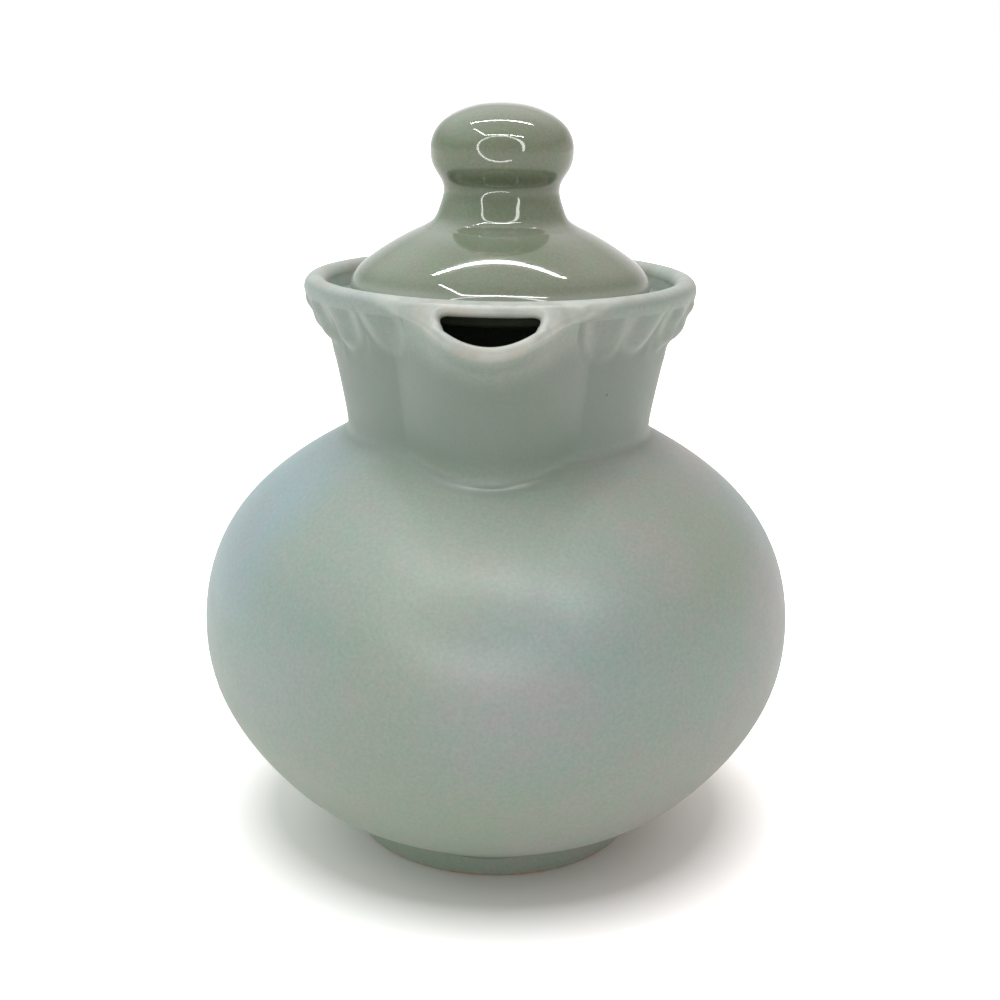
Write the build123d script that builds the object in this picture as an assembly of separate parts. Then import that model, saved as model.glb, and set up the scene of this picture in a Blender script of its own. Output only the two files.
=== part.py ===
from build123d import *
import os
from math import cos, radians, sin, sqrt

# A celadon-glazed creamer: a round pot on a foot ring, with a flared collar, a pulled spout,
# a loop handle and a loose domed lid with a ball knob.
# Millimetres. +Z is up, the pot's axis is the Z axis and the table is z = 0.
# The spout points along -Y and the handle along +Y.

# Belly
belly_radius = 45.0
belly_z = 35.7
crease_radius = 22.3
crease_z = 64.3
belly_wall = 3.2
floor_z = 6.8

# Foot ring
foot_radius = 22.0
foot_top_radius = 22.9
foot_bore = 18.4
foot_z = 4.2
base_recess = 2.4
foot_edge = 0.8

# Collar and its rolled rim
collar_wall = 3.0
rim_radius = 27.34
rim_z = 86.25
rim_roll = 1.64
roll_from = -75.0
roll_to = 190.0

# Lobes under the rim
lobe_pitch = 16
lobe_first = 33
lobe_last = 161
lobe_ball = 5.0
lobe_z = 82.3
lobe_reach = 28.35

# Ledge that carries the lid
ledge_z = 84.6
ledge_bore = 20.0
ledge_edge = 1.6
ledge_foot_z = 80.2
ledge_blank = 25.2
ledge_root = 2.0

# Spout, by level: height, front, half width of its nose and half width where it flares out
spout_root = (58.0, -25.0, 5.0, 9.0)
spout_low = (67.0, -28.0, 7.0, 11.6)
spout_high = (76.0, -30.9, 8.0, 12.6)
spout_top = (90.0, -37.0, 9.4, 15.0)
spout_nose_depth = 3.6
spout_sink = 0.9
spout_back = -15.0
# Channel in the spout, by level: height, front and half width
channel_root = (66.5, -25.6, 5.4)
channel_high = (76.0, -28.7, 6.4)
channel_top = (90.0, -35.0, 7.6)
lip_front = -33.0
lip_z = 82.8
lip_slope = 22.8
lip_round = 0.8
bridge_z = 85.6

# Handle: the middle line's corners as distance behind the axis and height
handle_corners = [(21.0, 76.5), (40.0, 81.0), (51.5, 73.0), (50.0, 56.0), (36.0, 44.0)]
handle_bends = [9.0, 12.0, 12.0]
handle_top_width = 9.4
handle_low_width = 7.6
handle_top_thickness = 5.6
handle_low_thickness = 5.0

# Lid
seat_gap = 0.3
lid_z = ledge_z + seat_gap
lid_radius = 22.3
lid_rest_radius = 21.4
lid_edge_z = 86.4
dome_hollow = 91.8
flange_radius = 19.4
flange_bore = 16.9
flange_depth = 2.0
flange_edge = 0.6
knob_foot = 10.8
knob_foot_z = 95.0
knob_neck = 8.5
knob_neck_z = 99.7
knob_radius = 10.45
knob_z = 105.4
knob_top = 112.4

big = 200.0


def at(radius, z):
    """The point of a turning outline at a radius and a height."""
    return Vector(radius, 0, z)


def turned(*edges):
    """A solid turned about the Z axis from a closed outline in the XZ plane."""
    return Solid(revolve(Face(Wire(edges)), Axis.Z, 360).wrapped)


def moved_in(curve, places, thickness):
    """Points of a turning outline at the given places, moved into the wall by its thickness."""
    points = []
    for place in places:
        along = curve % place
        points.append(curve @ place + Vector(-along.Z, 0, along.X) * thickness)
    return points


def roll_point(angle):
    """A point on the rim's roll, with the angle counted from outside towards the top."""
    across = rim_roll * cos(radians(angle))
    up = rim_roll * sin(radians(angle))
    return at(rim_radius + across, rim_z + up)


def belly_outside():
    """The belly's outside as an outline edge, from the foot ring up to the crease."""
    return Spline(
        at(foot_top_radius, foot_z),
        at(28.9, 7.4),
        at(35.9, 13.5),
        at(43.4, 25.4),
        at(belly_radius, belly_z),
        at(43.1, 45.4),
        at(36.5, 55.0),
        at(24.1, 63.4),
        at(crease_radius, crease_z),
    )


def collar_outside():
    """The collar's outside as an outline edge, from the crease up to the rolled rim."""
    return Spline(
        at(crease_radius, crease_z),
        at(23.8, 72.0),
        at(25.5, 79.2),
        at(26.5, 82.0),
        roll_point(roll_from),
    )


def collar_radius(height):
    """About how far the collar stands from the axis at a height."""
    return crease_radius + (rim_radius - crease_radius) * (height - crease_z) / (rim_z - crease_z)


def rim_edge():
    """The rim's roll as an outline edge, from the outside over the top to the inside."""
    return ThreePointArc(
        roll_point(roll_from),
        roll_point((roll_from + roll_to) / 2),
        roll_point(roll_to),
    )


def belly():
    """The round wall with its floor, which drops into the foot ring as a shallow plug."""
    outside = belly_outside()
    wall_places = [0.85, 0.7, 0.55, 0.4, 0.25]
    inside = Spline(
        at(crease_radius - collar_wall, crease_z),
        *moved_in(outside, wall_places, belly_wall),
        at(0, floor_z),
        tangents=[(0.3, 0, -1), (-1, 0, 0)],
    )
    return turned(
        Line(at(0, base_recess), at(foot_bore, base_recess)),
        Line(at(foot_bore, base_recess), at(foot_bore, foot_z)),
        Line(at(foot_bore, foot_z), outside @ 0),
        outside,
        Line(outside @ 1, inside @ 0),
        inside,
        Line(inside @ 1, at(0, base_recess)),
    )


def belly_filled():
    """The belly without its hollow, for cutting what is stuck on to it."""
    outside = belly_outside()
    return turned(
        outside,
        Line(outside @ 1, at(0, crease_z)),
        Line(at(0, crease_z), at(0, foot_z)),
        Line(at(0, foot_z), outside @ 0),
    )


def foot_ring():
    """The ring that the pot stands on, with both lower edges wiped round."""
    ring = turned(
        Line(at(foot_bore, 0), at(foot_radius, 0)),
        Line(at(foot_radius, 0), at(foot_top_radius, foot_z)),
        Line(at(foot_top_radius, foot_z), at(foot_bore, foot_z)),
        Line(at(foot_bore, foot_z), at(foot_bore, 0)),
    )
    return fillet(ring.faces().sort_by(Axis.Z)[0].edges(), foot_edge)


def collar():
    """The flared wall with its rolled rim, before the window behind the spout is cut."""
    outside = collar_outside()
    rim = rim_edge()
    inside = Spline(
        rim @ 1,
        *moved_in(outside, [0.85, 0.6, 0.3], collar_wall),
        at(crease_radius - collar_wall, crease_z),
    )
    return turned(outside, rim, inside, Line(inside @ 1, outside @ 0))


def collar_filled():
    """All that the collar's outside goes round, for cutting what is stuck on to it."""
    outside = collar_outside()
    rim_crown = roll_point(90)
    rim = ThreePointArc(outside @ 1, roll_point(0), rim_crown)
    return turned(
        outside,
        rim,
        Line(rim_crown, at(rim_radius, knob_top)),
        Line(at(rim_radius, knob_top), at(0, knob_top)),
        Line(at(0, knob_top), at(0, crease_z)),
        Line(at(0, crease_z), outside @ 0),
    )


def spout_section(height, front, nose, flare):
    """A level section through the spout's outside: a blunt nose whose sides flare into the collar."""
    wall_radius = collar_radius(height) - spout_sink
    flare_y = -sqrt(wall_radius**2 - flare**2)
    nose_y = front + spout_nose_depth
    outline = Spline(
        (-flare, flare_y),
        (-nose, nose_y),
        (0, front),
        (nose, nose_y),
        (flare, flare_y),
        tangents=[(1, -0.7), (1, 0.7)],
    )
    sides = Polyline((flare, flare_y), (flare, spout_back), (-flare, spout_back), (-flare, flare_y))
    return Plane.XY.offset(height) * make_face([*outline.edges(), *sides.edges()])


def channel_section(height, front, half_width):
    """A level section through the spout's channel: straight sides and a half-round front."""
    bend = front + half_width
    left_side = Line((-half_width, spout_back), (-half_width, bend))
    nose = ThreePointArc((-half_width, bend), (0, front), (half_width, bend))
    right_side = Line((half_width, bend), (half_width, spout_back))
    back = Line((half_width, spout_back), (-half_width, spout_back))
    return Plane.XY.offset(height) * make_face([left_side, nose, right_side, back])


def spout_channel():
    """The space that the milk runs through, from inside the collar to the mouth."""
    sections = [channel_root, channel_high, channel_top]
    return loft([channel_section(*section) for section in sections])


def below(height):
    """All the space under a level plane."""
    return Pos(0, 0, height) * Box(big, big, big, align=(Align.CENTER, Align.CENTER, Align.MAX))


def spout():
    """The pulled spout: a thin bulge on the shoulder and collar, cut to a sloping, rounded lip."""
    sections = [spout_root, spout_low, spout_high, spout_top]
    bulge = loft([spout_section(*section) for section in sections])
    above_lip = Box(big, big, big, align=(Align.CENTER, Align.CENTER, Align.MIN))
    above_lip = Pos(0, lip_front, lip_z) * Rot(lip_slope, 0, 0) * above_lip
    wall = bulge - above_lip - spout_channel()
    lip = wall.faces().filter_by(GeomType.PLANE).sort_by(Axis.Z)[-1]
    curved = lip.edges().filter_by(GeomType.LINE, reverse=True)
    wall = fillet(curved, lip_round)
    return wall - collar_filled() - belly_filled()


def window(piece):
    """A piece inside the spout, opened where the channel passes under the rim's bridge."""
    return piece - (spout_channel() & below(bridge_z))


def lid_gallery():
    """The ledge inside the collar that the lid rests on, open behind the spout."""
    ring = turned(
        Line(at(ledge_bore, ledge_z - ledge_edge), at(ledge_bore, ledge_z)),
        Line(at(ledge_bore, ledge_z), at(ledge_blank, ledge_z)),
        Line(at(ledge_blank, ledge_z), at(ledge_blank, ledge_foot_z)),
        Line(at(ledge_blank, ledge_foot_z), at(ledge_blank - ledge_root, ledge_foot_z)),
        Line(at(ledge_blank - ledge_root, ledge_foot_z), at(ledge_bore, ledge_z - ledge_edge)),
    )
    return ring - collar()


def collar_lobes():
    """The band of rounded lobes under the rim, with none at the spout or over the handle."""
    lobes = []
    wall = collar_filled()
    bulge = spout()
    for angle in range(lobe_first, lobe_last + 1, lobe_pitch):
        for side in (-1, 1):
            ball = Pos(0, lobe_ball - lobe_reach, lobe_z) * Sphere(lobe_ball)
            lobes += (Rot(0, 0, side * angle) * ball - wall - bulge).solids()
    return Compound(lobes)


def handle():
    """The pulled loop: an oval strap that thins towards its lower end."""
    corners = [(0, y, z) for y, z in handle_corners]
    path = FilletPolyline(*corners, radius=handle_bends)
    start = Plane(path @ 0, (1, 0, 0), path % 0)
    end = Plane(path @ 1, (1, 0, 0), path % 1)
    top = start * Ellipse(handle_top_width / 2, handle_top_thickness / 2)
    low = end * Ellipse(handle_low_width / 2, handle_low_thickness / 2)
    loop = sweep([top, low], path, multisection=True)
    return loop - collar_filled() - belly_filled()


def lid_dome():
    """The domed cover with its rounded edge, hollow underneath."""
    edge = ThreePointArc(at(lid_rest_radius, lid_z), at(lid_radius, lid_edge_z), at(21.6, 88.2))
    outside = Spline(
        edge @ 1,
        at(20.3, 89.8),
        at(17.1, 91.5),
        at(13.0, 93.9),
        at(knob_foot, knob_foot_z),
        tangents=[edge % 1, (-1, 0, 0.6)],
    )
    hollow = Spline(
        at(0, dome_hollow),
        at(9.0, 90.6),
        at(flange_bore, lid_z),
        tangents=[(1, 0, 0), (0.1, 0, -1)],
    )
    return turned(
        edge,
        outside,
        Line(outside @ 1, at(0, knob_foot_z)),
        Line(at(0, knob_foot_z), hollow @ 0),
        hollow,
        Line(hollow @ 1, edge @ 0),
    )


def lid_flange():
    """The ring under the lid that keeps it in the collar, with its lower edges rounded."""
    foot = lid_z - flange_depth
    ring = turned(
        Line(at(flange_bore, foot), at(flange_radius, foot)),
        Line(at(flange_radius, foot), at(flange_radius, lid_z)),
        Line(at(flange_radius, lid_z), at(flange_bore, lid_z)),
        Line(at(flange_bore, lid_z), at(flange_bore, foot)),
    )
    return fillet(ring.faces().sort_by(Axis.Z)[0].edges(), flange_edge)


def lid_knob():
    """The ball knob on its waisted stem."""
    stem = Spline(
        at(knob_foot, knob_foot_z),
        at(9.2, 97.1),
        at(knob_neck, knob_neck_z),
        at(9.2, 102.0),
        at(knob_radius, knob_z),
        tangents=[(-1, 0, 0.9), (0, 0, 1)],
    )
    crown = Spline(
        stem @ 1,
        at(9.35, 109.0),
        at(6.3, 111.25),
        at(0, knob_top),
        tangents=[(0, 0, 1), (-1, 0, 0)],
    )
    return turned(
        stem,
        crown,
        Line(at(0, knob_top), at(0, knob_foot_z)),
        Line(at(0, knob_foot_z), at(knob_foot, knob_foot_z)),
    )


def main():
    """Write one STEP file for each piece."""
    os.makedirs("parts", exist_ok=True)
    pieces = {
        "pot_belly": belly(),
        "foot_ring": foot_ring(),
        "neck_collar": window(collar()),
        "spout": spout(),
        "lid_gallery": window(lid_gallery()),
        "collar_lobes": collar_lobes(),
        "handle": handle(),
        "lid_dome": lid_dome(),
        "lid_flange": lid_flange(),
        "lid_knob": lid_knob(),
    }
    for name, piece in pieces.items():
        export_step(piece, f"parts/{name}.step")


main()
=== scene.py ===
import bpy
import numpy as np
from bpy.props import FloatProperty, FloatVectorProperty, PointerProperty, StringProperty
from mathutils import Matrix, Vector


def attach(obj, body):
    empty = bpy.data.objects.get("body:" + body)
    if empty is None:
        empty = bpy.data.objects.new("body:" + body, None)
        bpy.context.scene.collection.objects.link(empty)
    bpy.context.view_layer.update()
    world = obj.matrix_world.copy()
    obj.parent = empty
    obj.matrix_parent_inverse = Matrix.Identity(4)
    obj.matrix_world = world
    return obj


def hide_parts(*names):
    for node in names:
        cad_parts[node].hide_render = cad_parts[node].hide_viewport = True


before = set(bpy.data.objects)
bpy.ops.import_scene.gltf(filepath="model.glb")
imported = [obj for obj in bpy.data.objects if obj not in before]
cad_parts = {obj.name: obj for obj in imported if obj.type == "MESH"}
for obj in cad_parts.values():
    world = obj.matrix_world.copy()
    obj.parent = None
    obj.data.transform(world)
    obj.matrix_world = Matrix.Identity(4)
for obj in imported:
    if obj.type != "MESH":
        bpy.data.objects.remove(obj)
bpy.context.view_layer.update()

bl_info = {
    "name": "Celadon creamer",
    "version": (1, 0, 0),
    "blender": (4, 5, 0),
    "location": "3D View > Sidebar > Creamer",
    "description": "A glazed creamer with a pulled spout, a loop handle and a loose domed lid",
    "category": "Object",
}

MM = 0.001
WHITE = (1, 1, 1, 1)

# Outlines of the belly's outside and inside and of the collar, as heights and radii in millimetres
BELLY_OUT = ((4.2, 7.4, 13.5, 25.4, 35.7, 45.4, 55.0, 63.4, 64.3),
             (22.9, 28.9, 35.9, 43.4, 45.0, 43.1, 36.5, 24.1, 22.3))
BELLY_IN = ((6.9, 9.5, 17.5, 33.5, 45.5, 53.5, 57.5, 61.5, 64.3),
            (14.0, 23.7, 35.1, 41.8, 39.5, 33.7, 27.1, 20.8, 18.9))
COLLAR_OUT = ((64.3, 72.0, 79.2, 82.0, 84.67), (22.3, 23.8, 25.5, 26.5, 27.76))
# Spout by level: height, how far its nose stands out, and its half width at the flare
SPOUT_LEVELS = (58.0, 67.0, 76.0, 90.0)
SPOUT_FRONT = (25.0, 28.0, 30.9, 37.0)
SPOUT_FLARE = (9.0, 11.6, 12.6, 15.0)
# Middle line of the lip's roll by degrees from the nose: radius, height and the roll's own radius.
# It ends as the middle line of the rim's roll.
LIP_DEGREES = (0.0, 7.0, 10.5, 13.0, 15.5, 20.0, 24.0, 28.0, 32.0, 38.0)
LIP_RADIUS = (33.0, 32.8, 32.2, 31.35, 30.3, 28.9, 27.95, 27.42, 27.34, 27.34)
LIP_HEIGHT = (81.9, 82.7, 83.55, 84.15, 84.7, 85.55, 86.05, 86.22, 86.24, 86.24)
LIP_ROLL = (0.9, 0.9, 0.92, 0.96, 1.0, 1.1, 1.38, 1.62, 1.64, 1.64)
RIM_RADIUS = LIP_RADIUS[-1]
RIM_CROWN = 87.88
# The roll ends inside, at this angle from its outside over its crest
ROLL_END = 190
COLLAR_WALL = 3.0
# Degrees from the nose at which the spout gives way to the lobes, at which the first lobe stands,
# and beyond which none stands
LOBES_FROM = 24
FIRST_LOBE, LAST_LOBE = 33, 165
LOBE_TOP = 84.8
# Where the lid rests on its ledge, and the ledge's own top and lower edge
SEAT = 84.9
LEDGE_TOP, LEDGE_FOOT = 84.6, 80.6


def to_linear(hex_colour):
    """A linear colour with alpha from an sRGB hex value such as 9DABA3."""
    parts = np.array([int(hex_colour[i:i + 2], 16) for i in (0, 2, 4)]) / 255
    low, high = parts / 12.92, ((parts + 0.055) / 1.055) ** 2.4
    return (*np.where(parts <= 0.04045, low, high).tolist(), 1.0)


def smooth_through(stations, values, wanted):
    """The cubic curve through a few values at their stations, straight beyond both ends."""
    x, y = np.array(stations, float), np.array(values, float)
    wanted = np.asarray(wanted, float)
    step, rise = np.diff(x), np.diff(y) / np.diff(x)
    count = len(x)
    system = np.eye(count)
    right = np.zeros(count)
    inner = np.arange(1, count - 1)
    system[inner, inner - 1] = step[:-1]
    system[inner, inner] = 2 * (step[:-1] + step[1:])
    system[inner, inner + 1] = step[1:]
    right[1:-1] = 6 * np.diff(rise)
    bend = np.linalg.solve(system, right)
    held = np.clip(wanted, x[0], x[-1])
    i = np.clip(np.searchsorted(x, held) - 1, 0, count - 2)
    a, b, h = x[i + 1] - held, held - x[i], step[i]
    curve = (bend[i] * a**3 + bend[i + 1] * b**3) / (6 * h)
    curve += (y[i] / h - bend[i] * h / 6) * a + (y[i + 1] / h - bend[i + 1] * h / 6) * b
    first = rise[0] - bend[1] * step[0] / 6
    last = rise[-1] + bend[-2] * step[-1] / 6
    return curve + np.minimum(wanted - x[0], 0) * first + np.maximum(wanted - x[-1], 0) * last


def line_through(points, count):
    """Evenly spaced points on a smooth line through a few points."""
    points = np.array(points, float)
    along = np.concatenate([[0], np.cumsum(np.linalg.norm(np.diff(points, axis=0), axis=1))])
    wanted = np.linspace(0, along[-1], count)
    return np.stack([smooth_through(along, column, wanted) for column in points.T], -1)


def eased(value):
    """0 below 0, 1 above 1 and a soft step between."""
    value = np.clip(value, 0, 1)
    return value * value * (3 - 2 * value)


def bump_at(value, centre, width):
    """A bell curve that is 1 at the centre and has fallen to 0.37 at the width from it."""
    return np.exp(-(((value - centre) / width) ** 2))


def soft_max(a, b, blend):
    """The larger of two values, with a fillet of about the blend where they are equal."""
    gap = b - a
    return a + 0.5 * (gap + np.sqrt(gap * gap + blend * blend))


def arc_points(centre, radius, start, end, count):
    """Points on an arc in the (radius, height) plane, with degrees counted from outside to the top."""
    turn = np.radians(np.linspace(start, end, count))
    return np.stack([centre[0] + radius * np.cos(turn), centre[1] + radius * np.sin(turn)], -1)


def around(radius, height, angle):
    """Points at a radius and a height, with the angle counted from the spout towards +X."""
    return np.stack([radius * np.sin(angle), -radius * np.cos(angle), height + 0 * angle], -1)


def skin(name, rings, poles=(), marks=None):
    """A closed skin over rings of points, one row a ring, with a point that closes each end.

    Point (i, j) joins (i, j+1) and (i+1, j), and column 0 follows the last one. Without end points
    the first row follows the last one. The faces look outward, so the volume inside is positive.
    """
    rows, columns, _ = rings.shape
    joins = rows - 1 if len(poles) else rows
    row, column = np.meshgrid(np.arange(joins), np.arange(columns), indexing="ij")
    following, after = (row + 1) % rows, (column + 1) % columns
    corners = (row * columns + column, row * columns + after,
               following * columns + after, following * columns + column)
    faces = np.stack(corners, -1).reshape(-1, 4)
    points = rings.reshape(-1, 3) * MM
    a, b, c, d = points[faces].transpose(1, 0, 2)
    volume = np.einsum("ij,ij", a, np.cross(b, c)) + np.einsum("ij,ij", a, np.cross(c, d))
    faces = faces.tolist()
    if len(poles):
        first, second = np.arange(columns), (np.arange(columns) + 1) % columns
        top = (rows - 1) * columns
        faces += np.stack([np.full(columns, rows * columns), second, first], -1).tolist()
        last = np.full(columns, rows * columns + 1)
        faces += np.stack([top + first, top + second, last], -1).tolist()
        points = np.concatenate([points, np.array(poles, float) * MM])
    if volume < 0:
        faces = [face[::-1] for face in faces]
    mesh = bpy.data.meshes.new(name)
    mesh.from_pydata(points.tolist(), [], faces)
    for mark, value in (marks or {}).items():
        layer = mesh.attributes.new(mark, "FLOAT", "POINT")
        ends = [value[0].mean(), value[-1].mean()][:len(poles)]
        layer.data.foreach_set("value", np.concatenate([value.ravel(), ends]).astype(np.float32))
    mesh.shade_smooth()
    piece = bpy.data.objects.new(name, mesh)
    bpy.context.scene.collection.objects.link(piece)
    return piece


def ends_of(rings):
    """The middles of the first and the last ring."""
    return [rings[0].mean(0), rings[-1].mean(0)]


def lathe(name, outline, columns=256, marks=None):
    """A turned skin: each outline point (radius, height) goes round the Z axis. Its ends lie on it."""
    outline = np.array(outline, float)
    angle = np.linspace(0, 2 * np.pi, columns, endpoint=False)
    ring = outline[1:-1]
    rings = around(ring[:, :1], ring[:, 1:], angle[None, :])
    poles = [(0, 0, outline[0, 1]), (0, 0, outline[-1, 1])]
    marks = {key: np.repeat(value[1:-1, None], columns, 1) for key, value in (marks or {}).items()}
    return skin(name, rings, poles, marks)


def carry(piece, body, slot, material, *nodes):
    """Puts a finished piece with its material on its body, in place of its CAD nodes. Its slot is not
    used.
    """
    piece.data.materials.append(material)
    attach(piece, body)
    if nodes:
        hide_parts(*nodes)


# Forms of the pot


def collar_radius(height):
    """Outside of the collar: the cubic curve through its outline."""
    return smooth_through(*COLLAR_OUT, height)


def plain_wall(angle, height):
    """Outside of collar and spout: the collar's radius plus a bulge that fades as a power of a cosine.

    The bulge has faded out where its half width at the flare lies just inside the collar.
    """
    collar = collar_radius(height)
    height = np.maximum(height, SPOUT_LEVELS[0] - 4)
    flare = smooth_through(SPOUT_LEVELS, SPOUT_FLARE, height)
    sunk = 0.9
    reach = np.arcsin(np.clip(flare / (collar - sunk), 0, 0.9))
    fade = np.clip(np.abs(angle) / reach, 0, 1)
    bulge = np.cos(0.5 * np.pi * fade) ** 1.3
    return collar + (smooth_through(SPOUT_LEVELS, SPOUT_FRONT, height) - collar) * bulge


def lip_line(angle):
    """Radius, height and roll radius of the lip's middle line, as cubic curves over the degrees."""
    degrees = np.minimum(np.degrees(np.abs(angle)), LIP_DEGREES[-1])
    # The values are mirrored so that the curves run level across the nose
    stations = [-d for d in LIP_DEGREES[:0:-1]] + list(LIP_DEGREES)
    return [smooth_through(stations, list(v[:0:-1]) + list(v), degrees)
            for v in (LIP_RADIUS, LIP_HEIGHT, LIP_ROLL)]


def bar_line(angle):
    """Radius, height and own radius of the front edge of the bar over the mouth.

    From 15 to 30 degrees it eases into the rim.
    """
    away = eased((np.degrees(np.abs(angle)) - 15) / 15)
    return 28.85 - 0.9 * away, 86.8 - 0.55 * away, 0.85 + 0.18 * away


def lobe(angle, height, pitch):
    """Reach of the band of lobes, and how far out on its own lobe a point is, from 0 to over 1.

    Each lobe is a petal that hangs from under the rim: an oval as wide as the pitch and 6 mm long,
    rounded by a power of 1 less the square of the way out, with a shallow dish in it. No two are
    alike, so each leans and shifts a little, by a sine of its number.
    """
    degrees = np.degrees(angle)
    side = np.abs(degrees)
    last = np.floor((LAST_LOBE - FIRST_LOBE) / pitch)
    number = np.clip(np.round((side - FIRST_LOBE) / pitch), 0, last)
    odd = np.sin(2.4 * number + 1.7 * np.sign(degrees))
    off = side - FIRST_LOBE - pitch * number - 0.9 * odd - 0.35 * odd * (84 - height)
    # Both in millimetres, on the collar's radius there
    half_width = 0.245 * pitch
    across = np.abs(np.radians(off) * 27.5 / half_width)
    length = 6.0 + 0.4 * odd
    up = np.clip((LOBE_TOP - height) / length, 0, 2)
    edge = (across**2.2 + up**2.4) ** 0.43
    collar = np.minimum(collar_radius(height), 27.7)
    # The lobes beside the spout are worn flatter
    full = np.clip(1 - edge**2, 0, 1) ** 0.75 * (0.45 + 0.55 * eased((side - 30) / 38))
    dish = 0.5 * bump_at(edge, 0.25, 0.4) * eased((84 - height) / 2)
    crest = 28.45 + 0.35 * eased((height - 82.6) / 2)
    return collar - 0.4 + (crest + 0.4 - collar) * full - dish, edge


def wall_outside(angle, height):
    """Outside of belly, collar and spout with a fillet at the crease, before the lobes."""
    return soft_max(smooth_through(*BELLY_OUT, height), plain_wall(angle, height), 1.9)


def wall_inside(angle, height):
    """Inside of belly, collar and spout: the outside less the wall, with a softer crease."""
    hollow = smooth_through(*BELLY_IN, height)
    return soft_max(hollow, plain_wall(angle, height) - COLLAR_WALL, 1.0)


def thinned_and_lit_on_roll(angle, turn):
    """How far the glaze is thinner, with a painted highlight, on the rolled edge: all round the lip,
    and only on the crest beside it.

    The turn is the direction on the roll, from outside to the top. The glaze thins, and the painted
    highlight brightens, over 0.7 radians from a start that is under the lip but over the rim's
    outside, and on the rim both are weaker.
    """
    degrees = np.degrees(np.abs(angle))
    turn = (turn + np.pi / 2) % (2 * np.pi) - np.pi / 2
    early = 1.4 - 1.75 * eased((degrees - 16) / 24)
    return eased((turn + early) / 0.7) * (1 - 0.4 * eased((degrees - 28) / 18))


def level(rows, columns):
    """Outline points as two blocks of radii and heights, the same all the way round."""
    rows = np.array(rows, float)
    return np.repeat(rows[:, :1], columns, 1), np.repeat(rows[:, 1:], columns, 1)


def pot_rings(pitch):
    """Rings of the pot's wall, from under the foot up the outside, over the lip and down inside.

    Columns stand closer together in front, where the lip is. The wall eases into the start of the
    roll over the last 8 mm below it, outside and inside.
    """
    near = LIP_DEGREES[-1]
    front = np.radians(np.linspace(-near, near, 171))
    back = np.radians(np.linspace(near, 360 - near, 401))[1:-1]
    angle = np.concatenate([front, back])
    angle = (angle + np.pi) % (2 * np.pi) - np.pi
    lip_r, lip_z, roll = lip_line(angle)
    # The roll starts below its outside, and further down on the rim than on the lip
    start = np.radians(-26 - 20 * eased(np.degrees(np.abs(angle)) / 30))

    under = [(5, 2.4), (11, 2.4), (16, 2.4), (18.9, 2.4), (20.8, 3.1), (22.4, 3.95)]
    under_r, under_z = level(under, len(angle))

    # Belly, then collar and spout up to the roll
    belly_z = np.concatenate([np.linspace(4.2, 10, 9), np.linspace(10, 50, 25)[1:],
                              np.linspace(50, 60, 11)[1:]])
    join_z = lip_z + roll * np.sin(start)
    join_r = lip_r + roll * np.cos(start)
    step = np.linspace(0, 1, 54)[1:, None]
    wall_z = np.concatenate([np.repeat(belly_z[:, None], len(angle), 1), 60 + (join_z - 60) * step])
    wall_r = wall_outside(angle, wall_z)
    wall_r = wall_r + (join_r - wall_outside(angle, join_z)) * eased((wall_z - join_z + 8) / 8)

    # Roll over the lip
    turn = start + (np.radians(ROLL_END) - start) * np.linspace(0, 1, 25)[1:, None]
    roll_r, roll_z = lip_r + roll * np.cos(turn), lip_z + roll * np.sin(turn)

    # Lobes on the outside, with a shallow groove round each
    out_r, out_z = np.concatenate([wall_r, roll_r]), np.concatenate([wall_z, roll_z])
    outside = np.concatenate([np.ones_like(wall_r), (turn < np.radians(30)) * 1.0])
    beside = np.abs(angle) > np.radians(LOBES_FROM)
    reach, edge = lobe(angle, out_z, pitch)
    groove = 0.12 * bump_at(edge, 1.12, 0.2)
    here = outside * beside * (out_z > 76) * eased((86.9 - out_z) / 1.2)
    out_r = out_r + here * (soft_max(out_r, reach, 0.25) - groove - out_r)

    # Inside, down to the floor
    end_r, end_z = roll_r[-1], roll_z[-1]
    step = np.linspace(0, 1, 19)[1:, None]
    neck_z = end_z + (61 - end_z) * step
    neck_r = wall_inside(angle, neck_z)
    neck_r = neck_r + (end_r - wall_inside(angle, end_z)) * eased((neck_z - end_z + 8) / 8)
    deep_z = np.concatenate([np.linspace(61, 50, 9)[1:], np.linspace(50, 12, 12)[1:], [9.5, 8.2, 7.3]])
    deep = np.stack([wall_inside(np.pi, deep_z), deep_z], -1)
    deep_r, deep_z = level(np.concatenate([deep, [(12.5, 6.9), (6, 6.8)]]), len(angle))

    radius = np.concatenate([under_r, out_r, neck_r, deep_r])
    height = np.concatenate([under_z, out_z, neck_z, deep_z])

    # Glaze marks: lighter where the glaze is thinner and where highlights are painted, darker where it
    # pools and where shade is painted
    thinned_and_lit, pool_and_painted_shade = np.zeros_like(radius), np.zeros_like(radius)
    wall = slice(len(under_r), len(under_r) + len(wall_r))
    rolled = slice(wall.stop, wall.stop + len(roll_r))
    thinned_and_lit[wall], pool_and_painted_shade[wall] = glaze_and_painted_light_on_wall(angle, wall_z, join_z, edge[:len(wall_r)])
    thinned_and_lit[rolled] = thinned_and_lit_on_roll(angle, turn)
    return around(radius, height, angle[None, :]), {"thinned_and_lit_glaze": thinned_and_lit, "pooling_and_painted_shade_glaze": pool_and_painted_shade}


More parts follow.
